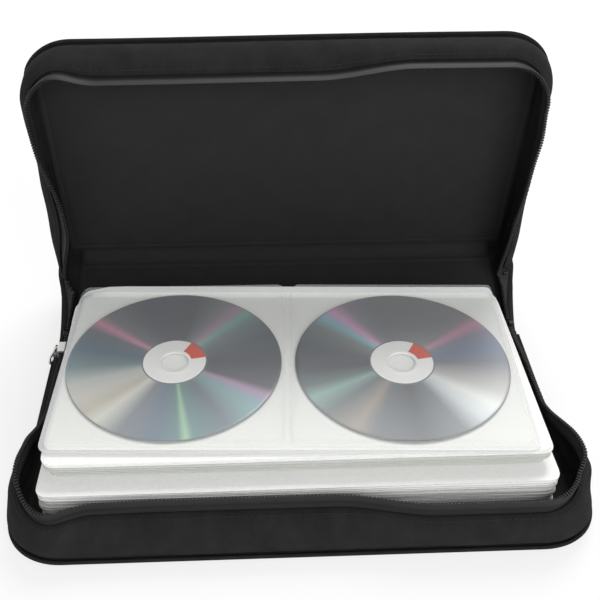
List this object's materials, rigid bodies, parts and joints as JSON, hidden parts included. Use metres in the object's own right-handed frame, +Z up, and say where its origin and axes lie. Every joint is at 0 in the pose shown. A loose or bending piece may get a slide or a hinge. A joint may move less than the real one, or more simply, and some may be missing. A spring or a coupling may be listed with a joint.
{
  "type": "disc storage case",
  "caption": "Zip-round soft case standing open, with bound sleeve pages and discs in the clear pockets of the top page.",
  "frame": {"origin": "middle of the base panel's underside", "axes": "+X along the long side, +Y back towards the spine, +Z up out of the base tray"},
  "size_m": [0.3116, 0.2318, 0.1936],
  "materials": {
    "cover_cloth": "black woven nylon",
    "lining_cloth": "black smooth lining",
    "piping_cloth": "black corded binding",
    "zip_tape": "black satin tape",
    "zip_nylon": "black nylon teeth",
    "slider_metal": "bright nickel",
    "sleeve": "off-white sleeve",
    "binding_board": "black bound strip",
    "rivet_metal": "plain steel",
    "disc_face": "mirror-like disc under clear plastic",
    "clear_film": "clear soft film"
  },
  "bodies": {
    "base": {"base_panel": "cover_cloth", "base_lining": "lining_cloth", "base_gusset": "cover_cloth", "base_piping": "piping_cloth", "base_zip_tape": "zip_tape", "base_zip_teeth": "zip_nylon", "base_zip_stop_left": "zip_nylon", "base_zip_stop_right": "zip_nylon", "page_block": "sleeve", "binding_strip": "binding_board", "binding_rivet_1": "rivet_metal", "binding_rivet_2": "rivet_metal", "binding_rivet_3": "rivet_metal", "disc_left": "disc_face", "disc_right": "disc_face", "pocket_film_left": "clear_film", "pocket_film_right": "clear_film"},
    "spine": {"spine_panel": "cover_cloth", "spine_lining": "lining_cloth"},
    "lid": {"lid_panel": "cover_cloth", "lid_lining": "lining_cloth", "lid_gusset": "cover_cloth", "lid_piping": "piping_cloth", "lid_zip_tape": "zip_tape", "lid_zip_teeth": "zip_nylon", "lid_zip_stop_left": "zip_nylon", "lid_zip_stop_right": "zip_nylon"},
    "slider": {"zip_slider": "slider_metal"},
    "pull": {"slider_pull": "slider_metal"}
  },
  "joints": [
    {"name": "spine_fold", "type": "hinge", "parent": "base", "child": "spine", "pos_m": [0, 0.082, 0.0016], "axis": [1, 0, 0], "range_deg": [-23.5, 66.5]},
    {"name": "lid_fold", "type": "hinge", "parent": "spine", "child": "lid", "pos_m": [0, 0.14344, 0.02832], "axis": [1, 0, 0], "range_deg": [-73, 17]},
    {"name": "zip_slide", "type": "slide", "parent": "base", "child": "slider", "axis": [0, -0.9995, 0.0332], "range_m": [-0.007, 0.046]},
    {"name": "pull_swing", "type": "hinge", "parent": "slider", "child": "pull", "pos_m": [-0.14655, 0.06155, 0.0151], "axis": [0, 0.0332, 0.9995], "range_deg": [-150, 11]}
  ]
}
